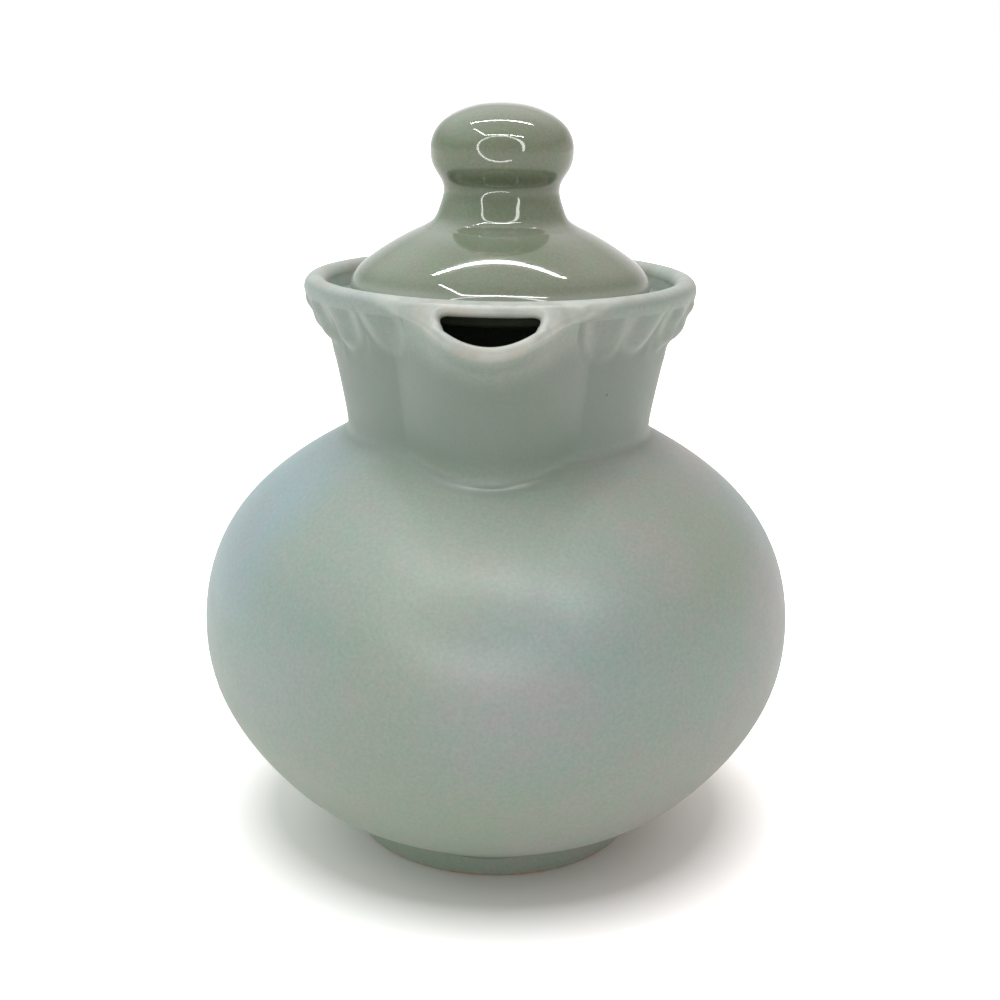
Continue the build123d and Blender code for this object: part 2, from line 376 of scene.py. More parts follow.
def glaze_and_painted_light_on_wall(angle, height, roll_start, edge):
    """How far the glaze is thinner on the wall, with painted highlights on the lobes' edges and at the
    lip, and how far it is darker, from pooling glaze in the crease and grooves and from painted shade,
    each from 0 to 1.

    Both are the largest of a few bell curves and eased steps over the height, the way out on a lobe
    and the distance from the crease.
    """
    degrees = np.degrees(np.abs(angle))
    at_nose = 1 - eased(degrees / 30)
    beside = degrees > LOBES_FROM
    # Lobe edges are lighter: thinner glaze with a painted highlight, fainter beside the spout
    worn_and_lit = 0.22 + 0.33 * eased((degrees - 30) / 38)
    lobe_edges_thinned_and_lit = worn_and_lit * beside * bump_at(edge, 0.84, 0.13)
    # At the nose the wall is lighter just below the roll: thinner glaze with a painted highlight on
    # the lip
    thinned_and_lit = np.maximum(lobe_edges_thinned_and_lit, at_nose * eased(height - roll_start + 1))
    # Darker in the crease, most at the nose: pooling glaze with painted shade
    off_crease = smooth_through(*BELLY_OUT, height) - plain_wall(angle, height)
    crease_pooling_and_painted_shade = (0.84 + 0.16 * (1 - eased(degrees / 32))) * bump_at(off_crease, 0, 1.8)
    # Darker in the grooves round the lobes: pooling glaze with painted shade
    groove_pooling_and_painted_shade = 0.8 * beside * bump_at(edge, 1.14, 0.2)
    # Painted shade in the lobes' dishes
    painted_shade_in_dishes = 0.5 * beside * eased((0.75 - edge) / 0.3)
    # Painted shade over the collar, from above the crease up to below the roll
    painted_shade_on_collar = 0.85 * eased((height - 61) / 6) * eased((roll_start - 0.9 - height) / 5)
    # Painted shade in a band under the lip's bead at the nose
    painted_shade_under_lip = 0.5 * at_nose * bump_at(height, roll_start - 2, 0.9)
    return thinned_and_lit, np.max([crease_pooling_and_painted_shade, groove_pooling_and_painted_shade, painted_shade_in_dishes, painted_shade_on_collar, painted_shade_under_lip], axis=0)


def foot_rings():
    """Rings of the foot ring: its section, with both lower edges rounded, turned about the Z axis."""
    section = np.concatenate([
        arc_points((19.2, 0.8), 0.8, 180, 270, 8),
        arc_points((21.25, 0.8), 0.8, 270, 350, 8),
        line_through([(22.1, 1.2), (22.6, 3.0), (22.85, 4.3), (22.8, 5.0)], 10),
        [(18.6, 5.0), (18.4, 3.0)],
    ])
    angle = np.linspace(0, 2 * np.pi, 200, endpoint=False)[:, None]
    return around(section[None, :, 0] + 0 * angle, section[None, :, 1] + 0 * angle, angle)


def touching(first, second, side):
    """The direction from two circles' middles to where a common tangent touches them, on one side."""
    across, up = second[0] - first[0], second[1] - first[1]
    lean = np.arccos(np.clip((first[2] - second[2]) / np.maximum(np.hypot(across, up), 1e-6), -1, 1))
    return np.arctan2(up, across) + side * lean


def part_circle(circle, start, end, count):
    """Points on circles (radius, height, own radius) between two directions, and the directions."""
    turn = start + (end - start) * np.linspace(0, 1, count)
    return circle[0] + circle[2] * np.cos(turn), circle[1] + circle[2] * np.sin(turn), turn


def bridge_rings(mouth):
    """Rings of the bridge over the mouth, one for each angle across the spout.

    Each ring is a band drawn tight round three circles, on the rim's line, the bar's line and the
    lip's line. Over the mouth, up to the given angle on each side, the third draws back to the second.
    """
    close = np.linspace(mouth - 2, mouth + 2, 21)
    degrees = np.concatenate([np.linspace(0, mouth - 2, 24)[:-1], close,
                              np.linspace(mouth + 2, 36.5, 44)[1:]])
    angle = np.radians(np.concatenate([-degrees[:0:-1], degrees]))[:, None]
    degrees = np.degrees(np.abs(angle))
    thick = 1.12 + 0.52 * eased((degrees - 12) / 14)
    rim = np.stack([RIM_RADIUS + 0 * angle, RIM_CROWN - thick, thick])
    bar, lip = np.stack(bar_line(angle)), np.stack(lip_line(angle))
    # Beside the spout the band sinks into the rim
    sink = 0.01 + 0.13 * eased((degrees - 27.5) / 9)
    for circle in (rim, bar, lip):
        circle[2] -= sink
    thick = thick - sink
    end = bar + eased((degrees - mouth + 0.4) / 0.8) * (lip - bar)
    end[2] = np.minimum(end[2], thick - 0.004)
    high = touching(rim, bar, 1)
    bend = (high - touching(bar, lip, 1)) % (2 * np.pi)
    middle = high - np.where(bend > np.pi, 0, bend)
    low = middle - (middle - touching(rim, end, -1)) % (2 * np.pi)
    parts = (part_circle(end, middle, low, 25), part_circle(rim, low, high - 2 * np.pi, 29),
             part_circle(bar, high, middle, 9))
    radius, height, turn = [np.concatenate(values, 1) for values in zip(*parts)]
    return around(radius, height, angle), thinned_and_lit_on_roll(angle, turn)


def mouth_rings(mouth):
    """Rings of the rounded edge of the mouth: a tube from the lip up one side, along the bar and down.

    Its line goes by the share of the mouth's half width and the share of the way from the bar to the
    lip, which is 3.5 mm there.
    """
    half = [(0.57, 1.0), (0.8, 0.985), (0.945, 0.84), (1.0, 0.5), (0.945, 0.16), (0.8, 0.015),
            (0.57, 0.0)]
    turns = np.array(half + [(0.28, 0), (0, 0), (-0.28, 0)] + [(-d, share) for d, share in half[::-1]])
    # A degree is 0.53 mm there
    scale = np.array([mouth * 0.53, 3.5])
    turns = line_through(turns * scale, 160) / scale
    angle, share = np.radians(turns[:, 0] * mouth), turns[:, 1]
    bar, lip = np.stack(bar_line(angle)), np.stack(lip_line(angle))
    radius, height, roll = bar + share * (lip - bar)
    middle = around(radius, height, angle)
    along = np.gradient(middle, axis=0)
    along /= np.linalg.norm(along, axis=1)[:, None]
    side = np.cross(along, (0, -0.64, 0.77))
    side /= np.linalg.norm(side, axis=1)[:, None]
    rise = np.cross(side, along)
    turn = np.linspace(0, 2 * np.pi, 32, endpoint=False)[None, :, None]
    tube = side[:, None] * np.cos(turn) + rise[:, None] * np.sin(turn)
    # Both ends run hidden in the lip
    size = roll - 0.01 - 0.2 * eased((share - 0.9) / 0.1)
    outward = tube[..., 0] * np.sin(angle)[:, None] - tube[..., 1] * np.cos(angle)[:, None]
    return (middle[:, None] + size[:, None, None] * tube,
            thinned_and_lit_on_roll(angle[:, None], np.arctan2(tube[..., 2], outward)))


def seat_rings():
    """Rings of the lid's ledge: a rounded bracket carried round from one side of the spout to the
    other, with its back hidden in the collar's wall.
    """
    angle = np.radians(np.linspace(19, 341, 240))[:, None]
    turned = (angle + np.pi) % (2 * np.pi) - np.pi
    wall = wall_inside(turned, np.full_like(turned, 83.5)) + 0.9
    upper = arc_points((20.6, 84.0), 0.6, 180, 90, 7)
    lower = arc_points((20.9, 83.2), 0.9, 240, 180, 6)
    inner = np.concatenate([lower, upper])
    ones = np.ones_like(angle)
    radius = np.concatenate([wall - 1.9, ones * inner[:, 0], wall, wall], 1)
    height = np.concatenate([ones * LEDGE_FOOT, ones * inner[:, 1], ones * LEDGE_TOP,
                             ones * (LEDGE_FOOT + 0.2)], 1)
    # Both ends are rounded off in plan, 7 degrees long
    inward = np.clip((np.minimum(angle - angle[0], angle[-1] - angle)) / np.radians(7), 0, 1)
    radius = wall + (radius - wall) * (0.12 + 0.88 * np.sqrt(1 - (1 - inward) ** 2))
    return around(radius, height, angle)


def handle_rings(top_width, low_width, depth):
    """Rings of the handle: an oval carried along a line with rounded bends, with flared ends.

    Width and thickness shrink evenly along it, and grow by a bell curve towards both ends.
    """
    corners = [(23.4, 77.1), (30.5, 78.7), (38.0, 80.1), (44.6, 78.2), (49.3, 72.6), (50.6, 66.0),
               (50.1, 59.8), (47.2, 53.6), (43.6, 50.5), (40.9, 48.2)]
    path = line_through(corners, 110)
    along = np.linspace(0, 1, len(path))[:, None]
    tangent = np.gradient(path, axis=0)
    tangent /= np.linalg.norm(tangent, axis=1)[:, None]
    normal = np.stack([-tangent[:, 1], tangent[:, 0]], -1)
    length = np.linalg.norm(np.diff(path, axis=0), axis=1).sum()
    flare = 0.42 * (bump_at(along * length, 0, 3.4) + bump_at((1 - along) * length, 0, 3.4))
    width = 0.5 * (top_width + (low_width - top_width) * along) * (1 + flare)
    thickness = depth * (0.5 - 0.054 * along) * (1 + 1.25 * flare)
    turn = np.linspace(0, 2 * np.pi, 48, endpoint=False)[None, :]
    side, rise = width * np.cos(turn), thickness * np.sin(turn)
    y = path[:, :1] + normal[:, :1] * rise
    z = path[:, 1:] + normal[:, 1:] * rise
    return np.stack([side, y, z], -1)


# Forms of the lid


def dome_outline():
    """The lid from its crown, hidden under the knob, over the rounded edge to the hollow below."""
    top = line_through([(9.6, 95.52), (11.6, 94.67), (13.6, 93.71), (15.6, 92.62), (17.6, 91.39),
                        (19.5, 90.06), (20.8, 88.95), (21.6, 87.97), (22.13, 87.05), (22.3, 86.25),
                        (22.0, 85.5), (21.4, 85.0)], 80)
    rest = np.array([(20.9, SEAT + 0.05), (19.0, SEAT), (17.3, SEAT)])
    hollow = line_through([(16.9, 85.4), (15.6, 87.4), (9.0, 90.6), (3.0, 91.75)], 22)
    return np.concatenate([[(0, 94.6), (5, 94.7)], top, rest, hollow, [(0, 91.8)]])


def flange_outline(depth):
    """The lid's locating ring, with its lower edges rounded, closed through the inside of the lid."""
    inner, outer, edge = 16.9, 19.4, 0.6
    low = SEAT - depth + edge
    return np.concatenate([
        [(0, 86.2), (12, 86.2), (inner, 86.0)],
        line_through([(inner, 85.6), (inner, 84.6), (inner, low + 0.1)], 4),
        arc_points((inner + edge, low), edge, 180, 270, 7),
        arc_points((outer - edge, low), edge, 270, 360, 7),
        line_through([(outer, low + 0.2), (outer, SEAT), (outer, 86.4)], 5),
        [(outer - edge, 86.9), (12, 86.9), (0, 86.9)],
    ])


def knob_outline():
    """The ball knob: a waisted stem that stands a little proud of the dome, and the ball above it."""
    foot = [(0, 93.6), (6, 93.6), (11.9, 93.9), (12.3, 94.15)]
    stem = line_through([(12.0, 94.42), (11.2, 94.9), (10.5, 95.32), (9.98, 95.75), (9.66, 96.2),
                         (9.38, 96.8), (9.02, 97.8), (8.7, 98.8), (8.52, 99.8), (8.62, 100.9),
                         (9.2, 102.05), (10.05, 103.5), (10.45, 105.4), (10.3, 107.1), (9.4, 109.0),
                         (8.0, 110.3), (6.3, 111.2), (3.2, 112.15), (0.7, 112.39)], 110)
    return np.concatenate([foot, stem, [(0, 112.4)]])


# Materials


def node(tree, kind, inputs=(), **settings):
    """Adds one shader node with its settings and links.

    Inputs go by their order, or by name or number in a dict. Each is a value, another node's output
    or another node, which stands for its first output.
    """
    made = tree.nodes.new("ShaderNode" + kind)
    for key, value in settings.items():
        setattr(made, key, value)
    for key, value in inputs.items() if isinstance(inputs, dict) else enumerate(inputs):
        if isinstance(value, bpy.types.Node):
            value = value.outputs[0]
        if isinstance(value, bpy.types.NodeSocket):
            tree.links.new(value, made.inputs[key])
        else:
            made.inputs[key].default_value = value
    return made


def new_material(name):
    """A node material with an empty tree, and that tree."""
    material = bpy.data.materials.new(name)
    material.use_nodes = True
    material.node_tree.nodes.clear()
    return material, material.node_tree


def soft_noise(place, size_mm, detail=2.0, rough=0.5):
    """The inputs of a noise texture whose blotches are about the given size."""
    return {"Vector": place, "Scale": 1 / (size_mm * MM), "Detail": detail, "Roughness": rough}


def blotches(tree, noise, low, high, to_low=0.0, to_high=1.0):
    """Noise stretched from one range to another and held at its ends, so that it has plain areas."""
    return node(tree, "MapRange", (node(tree, "TexNoise", noise), low, high, to_low, to_high))


def layered(tree, colour, layers, kind="MIX"):
    """A colour with others laid over it or multiplied with it in turn, each by its share."""
    for share, over in layers:
        colour = node(tree, "Mix", {0: share, 6: colour, 7: over}, data_type="RGBA",
                      blend_type=kind).outputs[2]
    return colour


def grained(tree, place, colour, size_mm, depth):
    """A colour with fine grain in its lightness."""
    grain = blotches(tree, soft_noise(place, size_mm, 2.0, 0.7), 0.3, 0.7, 1 - depth, 1 + depth)
    grey = node(tree, "CombineColor", (grain, grain, grain)).outputs[0]
    return layered(tree, colour, [(1.0, grey)], "MULTIPLY")


def stained(tree, place, colour, size_mm, first, second):
    """A colour with small stains that go from one tint to another."""
    share = blotches(tree, soft_noise(place, size_mm, 2.0, 0.6), 0.34, 0.66)
    tint = layered(tree, (*first, 1), [(share, (*second, 1))])
    return layered(tree, colour, [(1.0, tint)], "MULTIPLY")


def glaze_specks(tree, place, cell_mm, radius_mm):
    """Rare round pin specks: cells about as wide as given, with a soft dot in a few of them."""
    cells = node(tree, "TexVoronoi", {"Vector": place, "Scale": 1 / (cell_mm * MM)}).outputs
    share = radius_mm / cell_mm
    dot = node(tree, "MapRange", (cells["Distance"], share, 0.55 * share, 0.0, 1.0))
    chance = node(tree, "SeparateColor", (cells["Color"],))
    few = node(tree, "MapRange", (chance, 0.62, 0.64, 0.0, 1.0))
    return node(tree, "Math", (dot, few), operation="MULTIPLY")


def satin_celadon(tree, colours):
    """Stoneware under a sprayed satin celadon glaze: a soft broad sheen on clouded greys."""
    place = node(tree, "TexCoord").outputs["Object"]
    x, _, z = node(tree, "SeparateXYZ", (place,)).outputs
    # Bluer clouds of 42 mm in a greener glaze, with more of them on the left as bluish painted light
    clouds = blotches(tree, soft_noise(place, 42, 1.0), 0.36, 0.64)
    bluish_light_side = node(tree, "MapRange", (x, -0.035, 0.035, 0.25, -0.25))
    clouds = node(tree, "Math", (clouds, bluish_light_side), operation="ADD", use_clamp=True)
    # Low down and on the collar it is greener
    for low, high, to_low, to_high in ((0.02, 0.046, 0.0, 1.0), (0.058, 0.072, 1.0, 0.4)):
        band = node(tree, "MapRange", (z, low, high, to_low, to_high))
        clouds = node(tree, "Math", (clouds, band), operation="MULTIPLY")
    # Warmer clouds of 24 mm, with more of them on the right as warm painted light
    warm = blotches(tree, soft_noise(place, 24, 1.5), 0.46, 0.68)
    warm_light_side = node(tree, "MapRange", (x, -0.03, 0.03, 0.25, 0.75))
    warm = node(tree, "Math", (warm, warm_light_side), operation="MULTIPLY")
    colour = layered(tree, to_linear(colours.green_glaze), [(clouds, to_linear(colours.blue_glaze)),
                                                            (warm, to_linear(colours.warm_glaze))])
    # Grain of the glaze, drawn at 0.55 mm because the real 0.1 mm is too fine to show
    colour = grained(tree, place, colour, 0.55, 0.08)
    # Stains of 3 mm, pinker and greener by turns
    colour = stained(tree, place, colour, 3.2, (1.05, 0.98, 1.0), (0.95, 1.01, 0.98))
    # Thinner glaze, with the painted highlights on edges and the lip, wears through in patches of 3.5
    # mm, and in some of 7 mm the clay that shows through warms it
    pooling_and_painted_shade = node(tree, "Attribute", attribute_name="pooling_and_painted_shade_glaze").outputs["Fac"]
    thinned_and_lit = node(tree, "Attribute", attribute_name="thinned_and_lit_glaze").outputs["Fac"]
    patches = blotches(tree, soft_noise(place, 3.5), 0.32, 0.62, 0.4, 1.0)
    worn_and_lit = node(tree, "Math", (thinned_and_lit, patches), operation="MULTIPLY")
    through = blotches(tree, soft_noise(place, 7.0, 1.0), 0.5, 0.68)
    showing = layered(tree, to_linear(colours.thinned_and_lit_glaze), [(through, to_linear(colours.edge_clay))])
    # Specks with soft edges, 0.6 mm across with them, in a few cells of 9 mm
    specks = glaze_specks(tree, place, 9, 0.32)
    # Laid over in turn: pooling glaze with painted shade, the thinner glaze with painted highlights,
    # specks
    colour = layered(tree, colour, [
        (node(tree, "MapRange", (pooling_and_painted_shade, 0, 1, 0, 0.85)), to_linear(colours.pooling_and_painted_shade_glaze)),
        (node(tree, "MapRange", (worn_and_lit, 0, 1, 0, 0.75)), showing),
        (node(tree, "MapRange", (specks, 0, 1, 0, 0.6)), to_linear(colours.speck)),
    ])
    # Glaze that ran together in the crease is glossier
    shine = node(tree, "MapRange", (pooling_and_painted_shade, 0.86, 1.0, 1.0, 0.45))
    rough = blotches(tree, soft_noise(place, 6), 0.3, 0.7, 0.42, 0.52)
    rough = node(tree, "Math", (rough, shine), operation="MULTIPLY")
    # Orange peel of 2 mm, 0.02 mm deep, left by the spray
    peel = node(tree, "TexNoise", soft_noise(place, 2.2))
    peel = node(tree, "Bump", {"Height": peel, "Strength": 0.25, "Distance": 0.00006})
    return node(tree, "BsdfPrincipled", {"Base Color": colour, "Roughness": rough, "IOR": 1.5,
                                         "Normal": peel, "Coat Weight": 0.1, "Coat Roughness": 0.3})


def glossy_sage(tree, colours):
    """Porcelain under a glossy sage glaze: narrow clear reflections over a stained green."""
    place = node(tree, "TexCoord").outputs["Object"]
    # Thicker and thinner glaze in clouds of 14 mm, then stains of 2.4 mm, pinker and greener by turns
    clouds = blotches(tree, soft_noise(place, 14, 1.5), 0.35, 0.65)
    colour = layered(tree, to_linear(colours.lid_glaze), [(clouds, to_linear(colours.lid_glaze_deep))])
    colour = stained(tree, place, colour, 2.4, (1.06, 0.98, 1.02), (0.95, 1.02, 0.96))
    # Darker where shade is painted: on the locating ring and under the ball
    pooling_and_painted_shade = node(tree, "Attribute", attribute_name="pooling_and_painted_shade_glaze").outputs["Fac"]
    colour = layered(tree, colour, [(pooling_and_painted_shade, to_linear(colours.lid_painted_shade))])
    # Grain of the glaze, drawn at 0.45 mm because the real 0.1 mm is too fine to show
    colour = grained(tree, place, colour, 0.45, 0.1)
    # Lighter on the lid's edge, where the glaze is thinner, and round the knob's foot as painted light
    thinned_and_lit = node(tree, "Attribute", attribute_name="thinned_and_lit_glaze").outputs["Fac"]
    thinned_and_lit = node(tree, "MapRange", (thinned_and_lit, 0, 1, 0, 0.5))
    colour = layered(tree, colour, [(thinned_and_lit, to_linear(colours.thinned_and_lit_glaze))])
    # A slow unevenness of 9 mm bends the reflections a little
    swell = node(tree, "TexNoise", soft_noise(place, 9, 1.0))
    swell = node(tree, "Bump", {"Height": swell, "Strength": 0.3, "Distance": 0.0001})
    return node(tree, "BsdfPrincipled", {"Base Color": colour, "Roughness": 0.06, "IOR": 1.52,
                                         "Normal": swell})


def wiped_foot(tree, colours):
    """Foot ring dipped with the pot, then wiped: glaze on its side and bare toasted clay under it."""
    glazed = satin_celadon(tree, colours)
    place = node(tree, "TexCoord").outputs["Object"]
    height = node(tree, "SeparateXYZ", (place,)).outputs["Z"]
    # The wiped edge is ragged, between 0.1 and 0.7 mm up
    ragged = blotches(tree, soft_noise(place, 4.0), 0.3, 0.7, 0.0001, 0.0007)
    bare = node(tree, "Math", (height, ragged), operation="LESS_THAN")
    # Grit of 0.5 mm in the clay, which is rough to the touch
    grit = blotches(tree, soft_noise(place, 0.5, 3.0, 0.7), 0.35, 0.65)
    clay = layered(tree, to_linear(colours.bare_clay), [(grit, to_linear(colours.toasted_clay))])
    rough = node(tree, "Bump", {"Height": grit, "Strength": 0.6, "Distance": 0.0001})
    fired = node(tree, "BsdfPrincipled", {"Base Color": clay, "Roughness": 0.85, "Normal": rough})
    return node(tree, "MixShader", (bare, glazed, fired))


FINISHES = {
    "satin_celadon_glaze": satin_celadon,
    "glossy_sage_glaze": glossy_sage,
    "wiped_foot_ring": wiped_foot,
}


def material_for(name):
    """The material of that name, made from the scene's colours the first time it is asked for."""
    if name not in bpy.data.materials:
        _, tree = new_material(name)
        surface = FINISHES[name](tree, bpy.context.scene.creamer_colours)
        node(tree, "OutputMaterial", {"Surface": surface})
    return bpy.data.materials[name]


# Settings


def hex_colour(name, default, description):
    """The setting of a colour as six hex digits."""
    return StringProperty(name=name, default=default, description=description, maxlen=6)


def number(name, default, description, **more):
    """The setting of a number, with its unit or subtype where one fits."""
    return FloatProperty(name=name, default=default, description=description, **more)


def metres(name, default, low, high, description):
    """The setting of a length in metres."""
    return number(name, default, description, min=low, max=high, unit="LENGTH", subtype="DISTANCE")


class CreamerColours(bpy.types.PropertyGroup):
    """Colours of the glazes and the clay, as sRGB hex values."""

    green_glaze: hex_colour("Green glaze", "9AA898", "Greener clouds of the pot's glaze")
    blue_glaze: hex_colour("Blue glaze", "98ADB0", "Bluer clouds of the pot's glaze")
    warm_glaze: hex_colour("Warm glaze", "A8A7A3", "Warmer clouds of the pot's glaze")
    # Pooling glaze in the crease and grooves, with painted shade there, over the collar, in the dishes
    # and under the lip
    pooling_and_painted_shade_glaze: hex_colour("Pooled glaze", "7A887C", "Glaze that ran together in a crease")
    thinned_and_lit_glaze: hex_colour("Thin glaze", "D3D9CF", "Glaze that ran thin on an edge")
    # Thinner glaze on edges, with painted highlights on crests, lobe edges and the lip, and painted
    # light round the knob's foot
    edge_clay: hex_colour("Clay under glaze", "CDC0B2", "Thin glaze with the clay showing through")
    speck: hex_colour("Speck", "5B5F55", "Iron specks in the glaze")
    lid_glaze: hex_colour("Lid glaze", "838E77", "The lid's glossy glaze")
    lid_glaze_deep: hex_colour("Deep lid glaze", "7A866D", "The lid's glaze where it is thicker")
    # Painted shade on the lid's locating ring and under the ball
    lid_painted_shade: hex_colour("Pooled lid glaze", "4C5440", "Glaze under the ball and on the ring")
    bare_clay: hex_colour("Bare clay", "B9AC9C", "Unglazed clay under the foot")
    toasted_clay: hex_colour("Toasted clay", "A5886C", "Clay that the fire browned")


class CreamerSizes(bpy.types.PropertyGroup):
    """Sizes of the creamer's details, in metres."""

    mouth_width: metres("Mouth width", 0.0138, 0.008, 0.016, "Width of the pouring hole under the bar")
    lobe_pitch: number("Lobe pitch", np.radians(16.0), "Angle from one lobe of the rim to the next",
                       min=0.17, max=0.5, subtype="ANGLE")
    handle_top_width: metres("Handle width above", 0.0094, 0.006, 0.014,
                             "Width of the handle at the collar")
    handle_low_width: metres("Handle width below", 0.0076, 0.005, 0.012,
                             "Width of the handle at the belly")
    handle_depth: metres("Handle thickness", 0.0056, 0.004, 0.008,
                         "Thickness of the handle at the collar")
    ring_depth: metres("Locating ring", 0.002, 0.001, 0.004,
                       "How far the lid's ring hangs below its seat")


class CreamerStudio(bpy.types.PropertyGroup):
    """The camera, the surround, the paper and the lamps."""

    camera_place: FloatVectorProperty(name="Camera", description="Where the camera stands",
                                      subtype="TRANSLATION", default=(0.00995, -0.22778, 0.119))
    camera_tilt: number("Tilt", 0.28274, "How far the camera looks down", subtype="ANGLE")
    camera_turn: number("Turn", 0.04363, "How far the camera is turned from straight ahead",
                        subtype="ANGLE")
    camera_roll: number("Roll", 0.0135, "How far the camera is rolled", subtype="ANGLE")
    camera_shift: number("Shift", 0.0025, "Sideways shift as a share of the picture's width")
    lens: number("Lens", 55.17, "Focal length in millimetres", unit="CAMERA")
    sky: number("Surround", 0.8, "Strength of the white surround")
    ceiling: number("Ceiling", 1.9, "Share of the surround's light overhead")
    horizon: number("Horizon", 0.27, "Share of the surround's light at the table's level")
    front: number("Front", 0.4, "Share of the surround's light in front of the spout")
    back: number("Back wall", 1.2, "Share of the surround's light behind the pot")
    left: number("Left wall", 1.25, "Share of the surround's light on the left")
    right: number("Right wall", 0.64, "Share of the surround's light on the right")
    paper_glow: number("Paper glow", 0.9, "Glow of the paper away from the pot, seen by the camera")
    paper_lift: number("Paper lift", 0.12, "Light that comes up from the paper")
    mirror_glow: number("Mirrored paper", 0.25, "Glow of the paper far off, seen in mirror images")
    mirror_white: number("Mirrored horizon", 0.9, "White at the table's edge, seen in mirror images")
    ring: number("Ring", 13.0, "Strength of the tent's bright round edge")
    strip: number("Strips", 1.0, "Power of the back strip lamp", unit="POWER")


# Operators


class MakePot(bpy.types.Operator):
    """Make the pot's wall with its collar, lobes, spout and the bridge over its mouth"""

    bl_idname = "creamer.make_pot"
    bl_label = "Pot wall and spout"

    def execute(self, context):
        sizes = context.scene.creamer_sizes
        rings, marks = pot_rings(np.degrees(sizes.lobe_pitch))
        wall = skin("pot_wall", rings, [(0, 0, 2.4), (0, 0, 6.8)], marks)
        glaze = material_for("satin_celadon_glaze")
        carry(wall, "pot", "pot_glaze", glaze, "pot_belly", "neck_collar", "spout", "collar_lobes")
        # The edge tube runs half of the mouth's width and its own radius, 0.87 mm, off the middle,
        # where the bar is 31 mm from the axis
        mouth = np.degrees(np.arcsin((sizes.mouth_width / MM / 2 + 0.87) / 31))
        for name, made in (("mouth_bridge", bridge_rings), ("mouth_edge", mouth_rings)):
            rings, thinned_and_lit = made(mouth)
            marks = {"thinned_and_lit_glaze": thinned_and_lit, "pooling_and_painted_shade_glaze": 0 * thinned_and_lit}
            carry(skin(name, rings, ends_of(rings), marks), "pot", "pot_glaze", glaze)
        return {"FINISHED"}


class MakeFoot(bpy.types.Operator):
    """Make the foot ring with its wiped lower edge"""

    bl_idname = "creamer.make_foot"
    bl_label = "Foot ring"

    def execute(self, context):
        foot = skin("foot", foot_rings())
        carry(foot, "pot", "bare_foot", material_for("wiped_foot_ring"), "foot_ring")
        return {"FINISHED"}


class MakeLidSeat(bpy.types.Operator):
    """Make the ledge inside the collar that the lid rests on"""

    bl_idname = "creamer.make_lid_seat"
    bl_label = "Lid seat"

    def execute(self, context):
        rings = seat_rings()
        seat = skin("lid_seat", rings, ends_of(rings))
        carry(seat, "pot", "pot_glaze", material_for("satin_celadon_glaze"), "lid_gallery")
        return {"FINISHED"}


class MakeHandle(bpy.types.Operator):
    """Make the pulled loop handle"""

    bl_idname = "creamer.make_handle"
    bl_label = "Handle"

    def execute(self, context):
        sizes = context.scene.creamer_sizes
        rings = handle_rings(sizes.handle_top_width / MM, sizes.handle_low_width / MM,
                             sizes.handle_depth / MM)
        handle = skin("pulled_handle", rings, ends_of(rings))
        carry(handle, "pot", "pot_glaze", material_for("satin_celadon_glaze"), "handle")
        return {"FINISHED"}


class MakeLid(bpy.types.Operator):
    """Make the lid's dome, its locating ring and its ball knob"""

    bl_idname = "creamer.make_lid"
    bl_label = "Lid"

    def execute(self, context):
        glaze = material_for("glossy_sage_glaze")
        cover = dome_outline()[::-1]
        radius, height = cover.T
        # Lighter on the lid's edge, where the glaze is thinner, and, less so, round the foot of the
        # knob, as painted light against the knob's shade and its dark reflection
        thinned_and_lit = bump_at(radius, 22.3, 0.5) * (height > 85.5)
        thinned_and_lit = thinned_and_lit + 0.3 * bump_at(radius, 12.0, 2.4) * (height > 92)
        dome = lathe("lid_cover", cover, 320, {"thinned_and_lit_glaze": thinned_and_lit})
        carry(dome, "lid", "lid_glaze", glaze, "lid_dome")
        ring = flange_outline(context.scene.creamer_sizes.ring_depth / MM)
        # The locating ring is dark all over: painted shade where it stands in the dark mouth
        pooling_and_painted_shade = {"pooling_and_painted_shade_glaze": np.ones(len(ring))}
        carry(lathe("locating_ring", ring, 200, pooling_and_painted_shade), "lid", "lid_glaze", glaze, "lid_flange")
        # Painted shade in the hollow under the ball
        knob = knob_outline()
        marks = {"pooling_and_painted_shade_glaze": 0.6 * bump_at(knob[:, 1], 102.0, 1.3),
                 "thinned_and_lit_glaze": 0.3 * bump_at(knob[:, 1], 94.2, 1.6)}
        carry(lathe("ball_knob", knob, 256, marks), "lid", "lid_glaze", glaze, "lid_knob")
        return {"FINISHED"}


# The studio, in metres: how wide the strip lamps are and what point of the pot they face
STRIP_WIDTH = 0.006
AIMED_AT = (0, 0, 0.08)


def by_ray(tree, to_camera, to_mirror, otherwise):
    """One value for the camera, one for mirror images and views through glass, one for other light."""
    ray = node(tree, "LightPath").outputs
    mirrored = node(tree, "Math", (ray["Is Glossy Ray"], ray["Is Transmission Ray"]),
                    operation="MAXIMUM")
    rest = node(tree, "Mix", {0: mirrored, 2: otherwise, 3: to_mirror})
    return node(tree, "Mix", {0: ray["Is Camera Ray"], 2: rest, 3: to_camera})


def set_camera(scene, studio):
    """A camera in front of the spout that looks down, turned and rolled a little."""
    camera = bpy.data.cameras.new("camera")
    camera.lens = studio.lens
    camera.shift_x = studio.camera_shift
    camera.clip_start = 0.01
    placed = bpy.data.objects.new("camera", camera)
    aim = Matrix.Rotation(studio.camera_turn, 3, "Z")
    aim = aim @ Matrix.Rotation(np.pi / 2 - studio.camera_tilt, 3, "X")
    aim = aim @ Matrix.Rotation(studio.camera_roll, 3, "Z")
    placed.rotation_euler = aim.to_euler()
    placed.location = studio.camera_place
    scene.collection.objects.link(placed)
    scene.camera = placed


